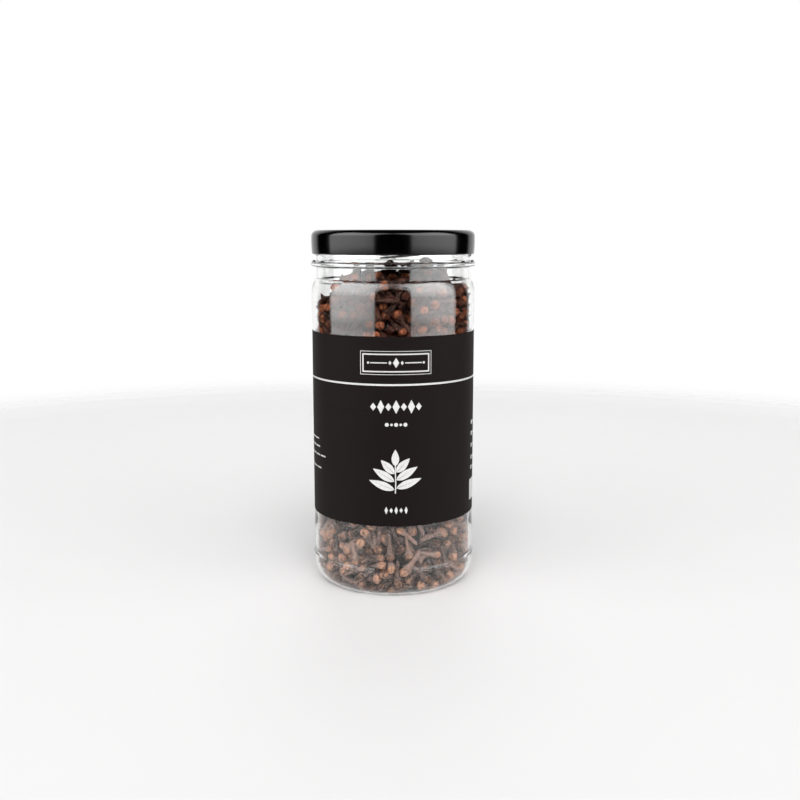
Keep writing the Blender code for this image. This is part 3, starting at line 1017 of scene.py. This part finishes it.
@dataclass
class CloveShape:
    """One whole clove along +Z: stem, four spread sepals and a round bud."""

    length: float = 12.4
    sides: int = 8
    # Shares of the length: height at the corners and between them, radius there, share of bud.
    rings: tuple[tuple[float, float, float, float, float], ...] = (
        (-0.495, -0.495, 0.052, 0.042, 0.0),
        (-0.400, -0.400, 0.076, 0.058, 0.0),
        (-0.230, -0.230, 0.090, 0.070, 0.0),
        (-0.060, -0.060, 0.100, 0.078, 0.0),
        (0.080, 0.080, 0.120, 0.094, 0.0),
        (0.165, 0.155, 0.146, 0.112, 0.0),
        (0.275, 0.185, 0.290, 0.122, 0.0),
        (0.235, 0.215, 0.150, 0.128, 0.0),
        (0.285, 0.270, 0.156, 0.150, 1.0),
        (0.362, 0.355, 0.172, 0.158, 1.0),
        (0.435, 0.430, 0.134, 0.120, 1.0),
        (0.482, 0.482, 0.062, 0.055, 1.0),
    )

    def make(self, name: str, rng: random.Random, with_bud: bool = True) -> Mesh:
        """Make one clove, bent, wrinkled and worn in its own way.

        Args:
            name: name of the mesh.
            rng: source of the differences.
            with_bud: whether the bud is still on.

        Returns:
            The mesh, in millimetres, with a "bud" attribute and a UV map.
        """
        bend, turn = rng.uniform(-0.9, 0.9), rng.uniform(-25, 25)
        flat = rng.uniform(0.86, 1.0)
        spread = [rng.uniform(0.75, 1.15) for _ in range(4)]
        offset = Vector((rng.uniform(0, 50), rng.uniform(0, 50), 0))
        rows: list[list[tuple[Vector, float, tuple[float, float]]]] = []
        rings = self.rings if with_bud else self.rings[:8] + ((0.21, 0.20, 0.07, 0.07, 0.2),)
        for index, (corner_h, side_h, corner_r, side_r, bud) in enumerate(rings):
            row = []
            for side in range(self.sides):
                corner = side % 2 == 0
                h, r = (corner_h, corner_r) if corner else (side_h, side_r)
                if index == 6 and corner:
                    r *= spread[side // 2]
                angle = math.tau * side / self.sides + math.radians(turn * h)
                spot = Vector((r * math.cos(angle), r * math.sin(angle) * flat, h)) * self.length
                crumple = 0.5 if bud < 0.5 else 0.22
                spot += noise.noise_vector(spot * 0.75 + offset) * crumple
                spot.x += bend * (h * h) * 4.0 - bend * 0.3
                row.append((spot, bud, (side / self.sides, h + 0.5)))
            rows.append(row)
        bm = bmesh.new()
        layer = bm.verts.layers.float.new("bud")
        uv = bm.loops.layers.uv.new("UVMap")
        grid = [[bm.verts.new(spot) for spot, _, _ in row] for row in rows]
        for verts, row in zip(grid, rows):
            for vert, (_, bud, _) in zip(verts, row):
                vert[layer] = bud
        ends = []
        for verts, lift in ((grid[0], -0.012), (grid[-1], 0.014 if with_bud else -0.03)):
            middle = sum((v.co for v in verts), Vector()) / len(verts)
            tip = bm.verts.new(middle + Vector((0, 0, lift * self.length)))
            tip[layer] = verts[0][layer]
            ends.append(tip)
        for low, (first, second) in enumerate(zip(grid, grid[1:])):
            for i in range(self.sides):
                j = (i + 1) % self.sides
                face = bm.faces.new((first[i], first[j], second[j], second[i]))
                heights = (rings[low][0] + 0.5, rings[low + 1][0] + 0.5)
                spots = ((i, heights[0]), (i + 1, heights[0]),
                         (i + 1, heights[1]), (i, heights[1]))
                for loop, (u, v) in zip(face.loops, spots):
                    loop[uv].uv = (u / self.sides, v)
        for i in range(self.sides):
            j = (i + 1) % self.sides
            caps = ((ends[0], grid[0][j], grid[0][i]), (ends[1], grid[-1][i], grid[-1][j]))
            for face in [bm.faces.new(cap) for cap in caps]:
                for loop in face.loops:
                    loop[uv].uv = (i / self.sides, 0.0 if ends[0] in face.verts else 1.0)
        for face in bm.faces:
            face.smooth = True
        return mesh_of(name, bm)


@dataclass
class Region:
    """One stretch of the fill that shows, and how many cloves fill it."""

    count: int
    low: float
    high: float
    seed: int
    fall: float                      # how far the cloves sink at each step
    clear: float                     # room left between the cloves and the wall
    sizes: tuple[float, float]       # smallest and largest clove, as shares of the usual one


@dataclass
class Fill:
    """The cloves that show through the wall, laid over a dark core of painted shade."""

    jar: Jar
    rule: NodeTree
    shape: CloveShape
    kinds: int = 8
    bare_kinds: int = 2
    depth: float = 8.0               # thickness of the layer of real cloves
    edge_z: float = 115.8            # top of the heap at the wall
    crown: float = 11.0              # how much higher it is in the middle
    # Shares of the radius between which it falls.
    slope: tuple[float, float] = (0.80, 0.86)
    lean: float = 2.8                # how much higher it is at +X than in the middle
    stray: float = 1.0               # how far cloves stand out of the heap's top
    floor_depth: float = 11.0        # thickness of the layer over the floor
    skin_gap: float = 0.06           # least room between the cloves and the jar
    # Room for a clove's middle at the start, at the wall, the floor and the top.
    start_gap: tuple[float, float, float] = (1.5, 2.5, 1.0)
    laid_flat: float = 0.3           # share of their outward heading that cloves lose
    facing: float = 0.85             # share of inward buds that are turned outwards
    whole: float = 0.93              # share of cloves with the bud still on
    seed: int = 5
    tint_seed: int = 3
    steps: int = 110
    spring: float = 0.35             # share of each overlap that a step takes away
    outward: float = 0.06            # pull towards the wall at the first step
    crest_give: float = 0.7          # share of a ball's height over the top that it loses
    # How strongly the cloves follow each other's pushes, and the jar's.
    give: tuple[float, float] = (2.2, 1.6)
    # Share of its depth in the core that a ball loses, aside and upright.
    core_give: tuple[float, float] = (0.15, 0.4)
    # Balls along each clove: share of its length from the middle, and radius as a share of it.
    balls: tuple[tuple[float, float], ...] = (
        (-0.42, 0.068), (-0.26, 0.080), (-0.10, 0.088), (0.06, 0.104), (0.21, 0.160),
        (0.345, 0.158))

    def heap_top(self, x: np.ndarray, y: np.ndarray) -> np.ndarray:
        """Height of the heap's top at each place."""
        inner = self.jar.inner_r
        share = np.clip(np.hypot(x, y) / inner, 0.0, 1.0)
        crown = self.crown * (1.0 - soft_step(share, *self.slope))
        return self.edge_z + crown + self.lean * x / inner

    def start(self, region: Region, rng: np.random.Generator) -> tuple[np.ndarray, np.ndarray]:
        """Scatter cloves through a region's layer.

        Args:
            region: the region.
            rng: source of the scatter.

        Returns:
            Middles and unit directions of the cloves.
        """
        spots, headings = [], []
        inner = self.jar.inner_r
        wall_gap, floor_gap, top_gap = self.start_gap
        while len(spots) < region.count:
            x, y = rng.uniform(-inner, inner, 2)
            z = rng.uniform(region.low, region.high)
            r = math.hypot(x, y)
            wall = float(self.jar.inside_radius(np.array(z)))
            top = float(self.heap_top(np.array(x), np.array(y)))
            shown = r > wall - self.depth or z < self.floor_depth or z > top - self.depth
            held = self.jar.floor_rise(r) + floor_gap < z < top - top_gap
            if r < wall - wall_gap and shown and held:
                spots.append((x, y, z))
                out = np.array((x, y, 0.0)) / max(r, 1e-6)
                heading = rng.normal(size=3)
                heading -= out * heading.dot(out) * self.laid_flat
                turned_out = heading.dot(out) < 0.0 and rng.random() < self.facing
                sign = -1.0 if turned_out else 1.0
                headings.append(sign * heading / np.linalg.norm(heading))
        return np.array(spots), np.array(headings)

    def pushed_in(self, balls: np.ndarray, radii: np.ndarray, region: Region) -> np.ndarray:
        """Find how far each ball moves to lie inside the jar and outside the core.

        Args:
            balls: middles of the balls.
            radii: their radii.
            region: the region that they belong to.

        Returns:
            The moves.
        """
        x, y, z = balls.T
        r = np.maximum(np.hypot(x, y), 1e-6)
        out = np.stack((x / r, y / r, np.zeros_like(r)), 1)
        over = np.maximum(0.0, r + radii + region.clear - self.jar.inside_radius(z))
        push = -out * over[:, None]
        floor = self.jar.floor_rise(r) + self.jar.floor_t + region.clear + radii
        floor = np.maximum(floor, region.low)
        push[:, 2] += np.maximum(0.0, floor - z)
        crest = self.heap_top(x, y)
        most = np.minimum(region.high, crest + self.stray)
        push[:, 2] -= np.maximum(0.0, z - most) * self.crest_give
        core_r, core_top = self.jar.inner_r - self.depth, crest - self.depth
        side, low, high = core_r - r, z - self.floor_depth, core_top - z
        inside = (side > 0) & (low > 0) & (high > 0)
        nearest = np.argmin(np.stack((side, low, high), 1), 1)
        aside, upright = self.core_give
        push += out * np.where(inside & (nearest == 0), side, 0.0)[:, None] * aside
        push[:, 2] -= np.where(inside & (nearest == 1), low, 0.0) * upright
        push[:, 2] += np.where(inside & (nearest == 2), high, 0.0) * upright
        return push

    @staticmethod
    def shift(ends: tuple[np.ndarray, np.ndarray], t: np.ndarray, push: np.ndarray,
              give: float) -> None:
        """Move the ends of the cloves as the pushes on their balls ask.

        Args:
            ends: feet and heads of the cloves, changed in place.
            t: place of each ball between them, 0 to 1.
            push: the push on each ball.
            give: how strongly the ends follow.
        """
        push = push.reshape(len(ends[0]), -1, 3) / ((1.0 - t) ** 2 + t ** 2)
        for end, share in zip(ends, (1.0 - t, t)):
            end += (push * share).sum(1) * give / t.size

    def lay(self, region: Region) -> tuple[np.ndarray, np.ndarray, np.ndarray]:
        """Let a region's cloves push each other apart until they lie clear.

        Args:
            region: the region.

        Returns:
            Middles, unit directions and sizes of the cloves.
        """
        rng = np.random.default_rng(region.seed)
        middles, headings = self.start(region, rng)
        sizes = rng.uniform(*region.sizes, region.count)
        lengths = sizes * self.shape.length
        shares, widths = np.array(self.balls).T
        low, high = shares[0], shares[-1]
        t = ((shares - low) / (high - low))[None, :, None]
        spans = (lengths * (high - low))[:, None]
        foot = middles + headings * (lengths * low)[:, None]
        head = middles + headings * (lengths * high)[:, None]
        radii = (widths[None, :] * lengths[:, None]).ravel()
        owner = np.repeat(np.arange(region.count), len(shares))
        apart = owner[:, None] != owner[None, :]
        reach = radii[:, None] + radii[None, :]
        for step in range(self.steps):
            left = 1.0 - step / self.steps
            balls = (foot[:, None] + (head - foot)[:, None] * t).reshape(-1, 3)
            squares = (balls ** 2).sum(1)
            squares = squares[:, None] + squares[None, :] - 2.0 * balls @ balls.T
            gaps = np.sqrt(np.maximum(squares, 1e-6))
            press = np.where(apart, np.maximum(0.0, reach - gaps), 0.0) / gaps
            push = self.spring * (press.sum(1)[:, None] * balls - press @ balls)
            r = np.maximum(np.hypot(balls[:, 0], balls[:, 1]), 1e-6)
            near = r > self.jar.inner_r - self.depth
            pull = np.where(near, self.outward * left, 0.0)
            push[:, :2] += pull[:, None] * balls[:, :2] / r[:, None]
            push[:, 2] -= region.fall * left
            self.shift((foot, head), t, push, self.give[0])
            for _ in range(2):
                balls = (foot[:, None] + (head - foot)[:, None] * t).reshape(-1, 3)
                bound = self.pushed_in(balls, radii, region)
                self.shift((foot, head), t, bound, self.give[1])
            middle, along = (foot + head) / 2, head - foot
            along /= np.linalg.norm(along, axis=1, keepdims=True)
            foot, head = middle - along * spans / 2, middle + along * spans / 2
        along = (head - foot) / spans
        return foot - along * (lengths * low)[:, None], along, sizes

    def strewing_rule(self) -> NodeTree:
        """Rule that puts one of the clove kinds on every point, turned, sized and tinted."""
        inputs = (("Cloves", "Collection"), ("Size", "Float"), ("Tint Seed", "Int"),
                  ("Finish", "Material"))
        web, given = new_rule("strewn_cloves", inputs)
        values = {"Collection": given["Cloves"], "Separate Children": True, "Reset Children": True}
        kinds = web.read("GeometryNodeCollectionInfo", 0, None, values)
        turn = self._named(web, "turn", "FLOAT_VECTOR")
        size = self._named(web, "size", "FLOAT")
        kind = self._named(web, "kind", "INT")
        rotation = web.read("FunctionNodeEulerToRotation", 0, None, {0: turn})
        values = {"Points": given["Geometry"], "Instance": kinds, "Pick Instance": True,
                  "Instance Index": kind, "Rotation": rotation, "Scale": size * given["Size"]}
        strewn = web.read("GeometryNodeInstanceOnPoints", 0, None, values)
        seed = {"Seed": given["Tint Seed"]}
        tint = web.node("FunctionNodeRandomValue", {"data_type": "FLOAT"}, seed)
        value = next(s for s in tint.outputs if s.enabled)
        strewn = web.read("GeometryNodeStoreNamedAttribute", 0,
                          {"data_type": "FLOAT", "domain": "INSTANCE"},
                          {"Geometry": strewn, "Name": "tint", "Value": value})
        return end_rule(web, strewn, given["Finish"])

    @staticmethod
    def _named(web: NodeWeb, name: str, kind: str) -> Field:
        """Read one named attribute of the points."""
        node = web.node("GeometryNodeInputNamedAttribute", {"data_type": kind}, {"Name": name})
        return Field(web, next(s for s in node.outputs if s.enabled and s.name == "Attribute"))

    def strewn(self, name: str, regions: Sequence[Region], finish: Material) -> Object:
        """Lay the cloves of several regions as one piece.

        Args:
            name: name of the piece.
            regions: the regions.
            finish: the cloves' material.

        Returns:
            The piece.
        """
        rng = random.Random(self.seed)
        group = bpy.data.collections.new("clove_kinds")
        for index in range(self.kinds + self.bare_kinds):
            label = f"clove_kind_{index}"
            mesh = self.shape.make(label, rng, index < self.kinds)
            group.objects.link(bpy.data.objects.new(label, mesh))
        spots, turns, sizes, picks = [], [], [], []
        for region in regions:
            middles, along, scale = self.lay(region)
            for spot, heading, size in zip(middles, along, scale):
                spin = Matrix.Rotation(rng.uniform(0, math.tau), 3, "Z").to_quaternion()
                turn = Vector(heading).to_track_quat("Z", "Y") @ spin
                spots.append(tuple(spot * MM))
                turns.extend(turn.to_euler())
                sizes.append(size)
                whole = rng.random() < self.whole
                picks.append(rng.randrange(self.kinds) if whole
                             else self.kinds + rng.randrange(self.bare_kinds))
        mesh = bpy.data.meshes.new(name)
        mesh.from_pydata(spots, [], [])
        for label, kind, slot, values in (("turn", "FLOAT_VECTOR", "vector", turns),
                                          ("size", "FLOAT", "value", sizes),
                                          ("kind", "INT", "value", picks)):
            mesh.attributes.new(label, kind, "POINT").data.foreach_set(slot, values)
        piece = new_object(name, mesh)
        values = {"Cloves": group, "Size": MM, "Tint Seed": self.tint_seed, "Finish": finish}
        settle(piece, self.strewing_rule(), values)
        for kind in list(group.objects):
            bpy.data.objects.remove(kind, do_unlink=True)
        bpy.data.collections.remove(group)
        self.keep_inside(piece)
        return piece

    def keep_inside(self, piece: Object) -> None:
        """Press in what pokes through the jar's wall or floor."""
        places, radius = points_of(piece.data)
        radius = np.maximum(radius, 1e-6)
        floor = self.jar.floor_t + self.jar.floor_rise(radius) + self.skin_gap
        places[:, 2] = np.maximum(places[:, 2], floor)
        reach = self.jar.inside_radius(places[:, 2]) - self.skin_gap
        places[:, :2] *= np.minimum(1.0, reach / radius)[:, None]
        move_points(piece.data, places)

    def core(self, finish: Material) -> Object:
        """Make the dark uneven core behind the layer of cloves, painted shade for the pile's depth."""
        reach, soft = self.jar.inner_r - self.depth + 2.0, 4.0
        low, top = self.floor_depth - 2.0, self.edge_z - self.depth
        outline: Outline = [(r, low) for r in np.linspace(0.0, reach - soft, 8)]
        outline += arc((reach - soft, low + soft), (soft, soft), -90, 0, 5)[1:]
        outline += [(reach, z) for z in np.arange(low + 6.0, top - soft, 3.0)]
        outline += arc((reach - soft, top - soft), (soft, soft), 0, 90, 5)
        outline += [(r, top) for r in np.linspace(reach - 5.0, 0.0, 8)]
        piece = turned("clove_core", outline, 96, finish, self.rule)
        places, _ = points_of(piece.data)
        capped = places[:, 2] > top - 0.5
        crest = self.heap_top(places[:, 0], places[:, 1]) - self.edge_z
        places[:, 2] += np.where(capped, np.maximum(crest, -2.0), 0.0)
        coarse, fine, dent = 0.22, 0.6, 1.4
        dents = np.array([noise.noise_vector(Vector(p) * coarse)
                          + noise.noise_vector(Vector(p) * fine) * 0.5 for p in places])
        move_points(piece.data, places + dents * dent)
        return piece

    def build(self, skin: CloveSkin, core_shade: PaintedShadeCore) -> None:
        """Make the core and the cloves over it.

        Args:
            skin: finish of the cloves.
            core_shade: finish of the core, painted shade.
        """
        under_label = Region(count=470, low=0.0, high=37.0, seed=11, fall=0.02, clear=0.1,
                             sizes=(0.74, 1.0))
        over_label = Region(count=360, low=94.0, high=131.0, seed=34, fall=0.04, clear=0.8,
                            sizes=(0.82, 1.08))
        regions = (under_label, over_label)
        cloves = self.strewn("whole_cloves", regions, skin.make())
        enrol(cloves, Slot.CLOVES, "cloves")
        enrol(self.core(core_shade.make()), Slot.CLOVES)


# ---- the studio


@dataclass
class Studio:
    """Pale table, bright room, two soft boxes beside the camera, and the camera."""

    camera_at: tuple[float, float, float] = (2.75, -401.8, 139.0)
    pitch: float = 9.29
    lens: float = 45.05
    floor_r: float = 620.0
    backdrop: float = 1.0
    lit_share: float = 0.08          # how much of the mirrored room lights plain surfaces
    ambient: float = 0.12
    # Brightness of the boxes low down and what each rise adds, and the angles of the rises.
    box_light: tuple[float, float, float] = (1.43, 4.3, 4.15)
    box_rises: tuple[tuple[float, float], tuple[float, float]] = ((-12.0, -3.0), (2.0, 18.0))
    box_half: float = 98.0           # the light reaches this far round from the camera
    box_top: float = 56.0
    box_round: float = 14.0
    box_fall: float = 0.3            # how much darker each box is at its edges
    gap_half: float = 25.5           # half of the arched dark gap behind the camera
    gap_top: float = 36.0
    gap_round: float = 22.0
    edge_blur: float = 1.6
    white_from: float = 131.0
    white_top: float = 30.0
    key_power: float = 19.0
    key_size: float = 1800.0
    key_far: float = 2600.0
    key_turn: float = 48.0
    key_height: float = 0.55
    front_power: float = 198.0
    front_size: float = 2700.0
    front_at: tuple[float, float, float] = (0.0, -2700.0, 3000.0)
    back_power: float = 28.0
    aim_z: float = 70.0              # the lamps look at the jar at this height

    def floor(self) -> None:
        """Make the table top as one round stage."""
        bm = bmesh.new()
        bmesh.ops.create_circle(bm, cap_ends=True, segments=96, radius=self.floor_r * MM)
        floor = new_object("table_top", mesh_of("table_top", bm))
        floor.data.materials.append(PaleFloor("pale_table", (0.64, 0.634, 0.634), 0.55).make())

    def room(self) -> None:
        """Light the room with two soft boxes, dark between them, before a plain bright backdrop."""
        world = bpy.data.worlds.new("bright_room")
        world.use_nodes = True
        world.node_tree.nodes.clear()
        web = NodeWeb(world.node_tree)
        x, y, z = web.axes(web.read("ShaderNodeTexCoord", "Generated"))
        turn = abs(web.maths("ARCTAN2", x, y * -1.0)) * DEGREES
        rise = web.maths("ARCSINE", z) * DEGREES
        band = self._rounded(web, turn, rise, (0.0, self.box_half), (-60.0, self.box_top),
                             self.box_round)
        gap = self._rounded(web, turn, rise, (0.0, self.gap_half), (-90.0, self.gap_top),
                            self.gap_round)
        low, added, more = self.box_light
        glow = rise.step(*self.box_rises[0]) * added + rise.step(*self.box_rises[1]) * more + low
        middle = (self.box_half + self.gap_half) / 2
        aside = (turn - middle) / (self.box_half - middle)
        fall = 1.0 - aside * aside * self.box_fall
        boxes = band * (1.0 - gap) * fall * glow
        back = turn.step(self.white_from - 4.0, self.white_from + 4.0)
        back = back * rise.step(self.white_top + 15.0, self.white_top)
        mirrored = boxes + back * self.backdrop
        path = web.node("ShaderNodeLightPath")
        camera, passed, glossy, bounces = (Field(web, path.outputs[name]) for name in (
            "Is Camera Ray", "Is Transmission Ray", "Is Glossy Ray", "Glossy Depth"))
        straight = web.maths("MAXIMUM", camera, passed)
        seen = web.maths("MAXIMUM", straight, glossy)
        first = 1.0 - bounces.step(0.4, 0.6) * seen
        lit = mirrored * self.lit_share + self.ambient
        plain = straight * (self.backdrop - lit) + lit
        level = first * (plain - mirrored) + mirrored
        white = (1.0, 1.0, 1.0, 1.0)
        light = web.node("ShaderNodeBackground", None, {"Color": white, "Strength": level})
        web.node("ShaderNodeOutputWorld", None, {"Surface": Field(web, light.outputs[0])})
        bpy.context.scene.world = world

    def _rounded(self, web: NodeWeb, turn: Field, rise: Field, across: tuple[float, float],
                 upright: tuple[float, float], corner: float) -> Field:
        """Mask of a patch of the room with rounded corners.

        Args:
            web: the world's node web.
            turn: angle round from the camera, without its sign.
            rise: angle above the horizon.
            across: the patch's middle and half width.
            upright: its lowest and highest angle.
            corner: radius of its corners.

        Returns:
            1 inside the patch and 0 outside.
        """
        low, high = upright
        sideways = abs(turn - across[0]) - (across[1] - corner)
        height = abs(rise - (low + high) / 2) - ((high - low) / 2 - corner)
        square = web.maths("MAXIMUM", sideways, 0.0) ** 2.0
        square = square + web.maths("MAXIMUM", height, 0.0) ** 2.0
        return web.maths("SQRT", square).step(corner + self.edge_blur, corner - self.edge_blur)

    def lamps(self) -> None:
        """Hang the two soft boxes and a sheet of light high in front and behind."""
        angle = math.radians(self.key_turn)
        for side in (-1.0, 1.0):
            aside = Vector((side * math.sin(angle), -math.cos(angle), self.key_height))
            self._lamp("soft_box", aside * self.key_far, self.key_size, self.key_power)
        x, y, z = self.front_at
        self._lamp("front_sheet", Vector((x, y, z)), self.front_size, self.front_power)
        self._lamp("back_sheet", Vector((x, -y, z)), self.front_size, self.back_power)

    def _lamp(self, name: str, spot: Vector, size: float, power: float) -> None:
        """Hang a square lamp that looks at the jar and that mirrored rays don't see.

        Args:
            name: name of the lamp.
            spot: its middle.
            size: its side.
            power: its power in watts.
        """
        lamp = bpy.data.lights.new(name, "AREA")
        lamp.shape, lamp.size, lamp.energy = "SQUARE", size * MM, power
        obj = bpy.data.objects.new(name, lamp)
        obj.location = spot * MM
        aim = Vector((0.0, 0.0, self.aim_z)) - spot
        obj.rotation_euler = aim.to_track_quat("-Z", "Y").to_euler()
        obj.visible_camera = obj.visible_glossy = obj.visible_transmission = False
        bpy.context.scene.collection.objects.link(obj)

    def camera(self) -> None:
        """Set the camera where the photograph was taken from."""
        data = bpy.data.cameras.new("camera")
        data.lens, data.sensor_width = self.lens, 36.0
        data.clip_start = 0.01
        camera = bpy.data.objects.new("camera", data)
        camera.location = Vector(self.camera_at) * MM
        camera.rotation_euler = (math.radians(90.0 - self.pitch), 0.0, 0.0)
        bpy.context.scene.collection.objects.link(camera)
        bpy.context.scene.camera = camera

    def build(self) -> None:
        """Set up the whole studio."""
        self.floor()
        self.room()
        self.lamps()
        self.camera()
        bpy.context.scene.view_settings.view_transform = "Standard"
        LOG.info("studio: table, room, two soft boxes and camera")


def main() -> None:
    """Build the jar of cloves in order."""
    logging.basicConfig(level=logging.INFO, format="%(name)s: %(message)s")
    rule = turning_rule()
    Studio().build()
    jar = Jar(rule)
    jar.build(ClearPlastic("clear_plastic", (0.985, 0.99, 0.985), 0.0, 1.395))
    Lid(rule).build(Lacquer("black_lacquer", (0.0003, 0.0003, 0.0005), 0.13, 1.31))
    Label(rule).build(LabelFilm("label_film", (0.0072, 0.0055, 0.0052), 0.55),
                      Ink("white_ink", (0.52, 0.515, 0.51), 0.5))
    # The clove core's near-black brown is painted shade for the depth of the pile.
    Fill(jar, rule, CloveShape()).build(CloveSkin("clove_skin", (0.1, 0.05, 0.03), 0.6),
                                        PaintedShadeCore("clove_core", (0.012, 0.0045, 0.003), 0.9))


if __name__ == "__main__":
    main()
